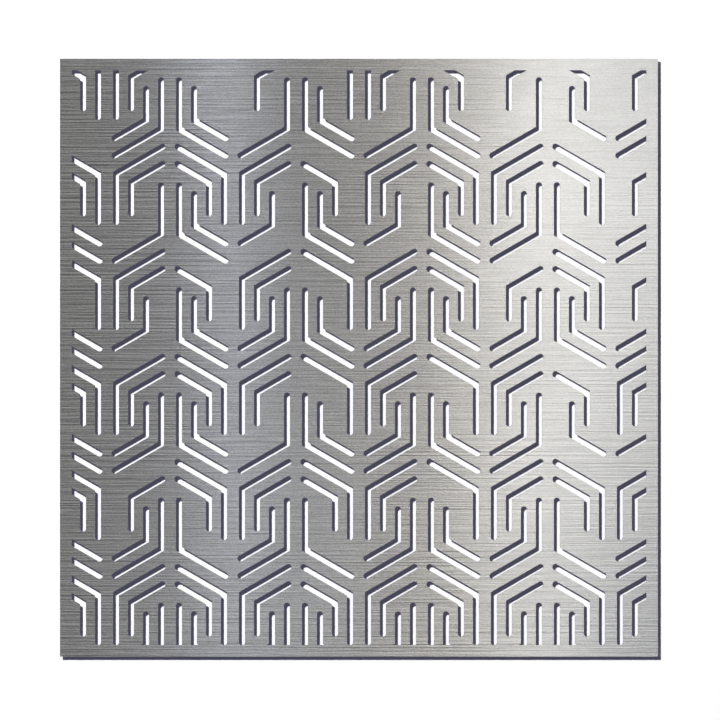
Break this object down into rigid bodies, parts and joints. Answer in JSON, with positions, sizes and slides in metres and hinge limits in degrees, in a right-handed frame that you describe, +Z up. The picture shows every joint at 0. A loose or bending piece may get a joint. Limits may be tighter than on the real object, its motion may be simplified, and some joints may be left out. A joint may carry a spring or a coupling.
{
  "type": "laser cut metal screen",
  "caption": "Square brushed steel screen pierced with a woven pattern of bent slots, standing off its wall on concealed pin-and-socket stand-offs locked by grub screws.",
  "frame": {"origin": "middle of the eight-hole fixing pattern, on the wall plane at the back of the pads", "axes": "+X to the right of someone who faces the screen, +Y into the wall (the visible face looks to -Y), +Z up"},
  "size_m": [0.598, 0.017, 0.598],
  "materials": {
    "brushed_sheet": "horizontal brushed grain on the face, dark heat-tinted cut edges",
    "pin_steel": "bright drawn stainless",
    "turned_aluminium": "fine turned satin",
    "nylon_black": "matte moulded nylon",
    "pad_rubber": "matte rubber",
    "black_oxide": "black oxide"
  },
  "bodies": {
    "root": {"face_sheet": "brushed_sheet", "weld_pins": "pin_steel", "isolating_washers": "nylon_black", "grub_screws": "black_oxide", "wall_pads": "pad_rubber", "standoff_top_left": "turned_aluminium", "standoff_top_middle": "turned_aluminium", "standoff_top_right": "turned_aluminium", "standoff_middle_left": "turned_aluminium", "standoff_middle_right": "turned_aluminium", "standoff_bottom_left": "turned_aluminium", "standoff_bottom_middle": "turned_aluminium", "standoff_bottom_right": "turned_aluminium"}
  },
  "joints": []
}
